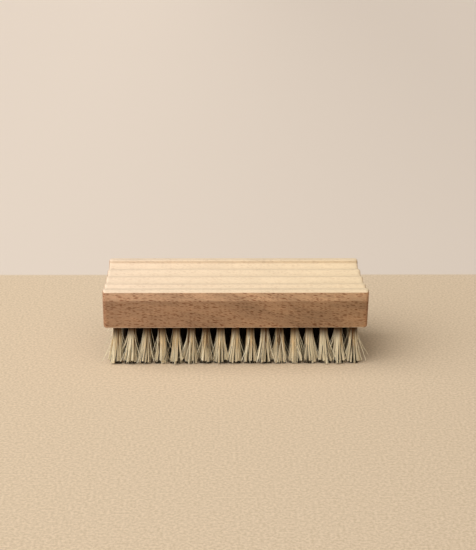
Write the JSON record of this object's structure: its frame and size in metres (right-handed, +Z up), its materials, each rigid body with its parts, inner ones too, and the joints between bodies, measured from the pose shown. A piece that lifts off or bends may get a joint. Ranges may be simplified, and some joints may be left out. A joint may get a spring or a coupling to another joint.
{
  "type": "nail brush",
  "caption": "Wooden nail brush: moulded block with drained ridges on top between raised rims, and staggered rows of pale bristle tufts below.",
  "frame": {"origin": "under the middle of the block, on the plane where the trimmed bristle tips stand", "axes": "+X along the block's length, +Y across it, away from the side that the picture shows, +Z up from the tips to the ridged top"},
  "size_m": [0.11, 0.047, 0.034],
  "materials": {
    "beech": "satin, lightly oiled, with short dark ray flecks along the grain",
    "bristle": "natural pale bristle, soft sheen, mixed cream and straw strands",
    "anchor_wire": "bare flat wire"
  },
  "bodies": {
    "root": {"block": "beech", "tuft_row_1": "bristle", "tuft_row_2": "bristle", "tuft_row_3": "bristle", "tuft_row_4": "bristle", "tuft_row_5": "bristle", "anchor_row_1": "anchor_wire", "anchor_row_2": "anchor_wire", "anchor_row_3": "anchor_wire", "anchor_row_4": "anchor_wire", "anchor_row_5": "anchor_wire"}
  },
  "joints": []
}
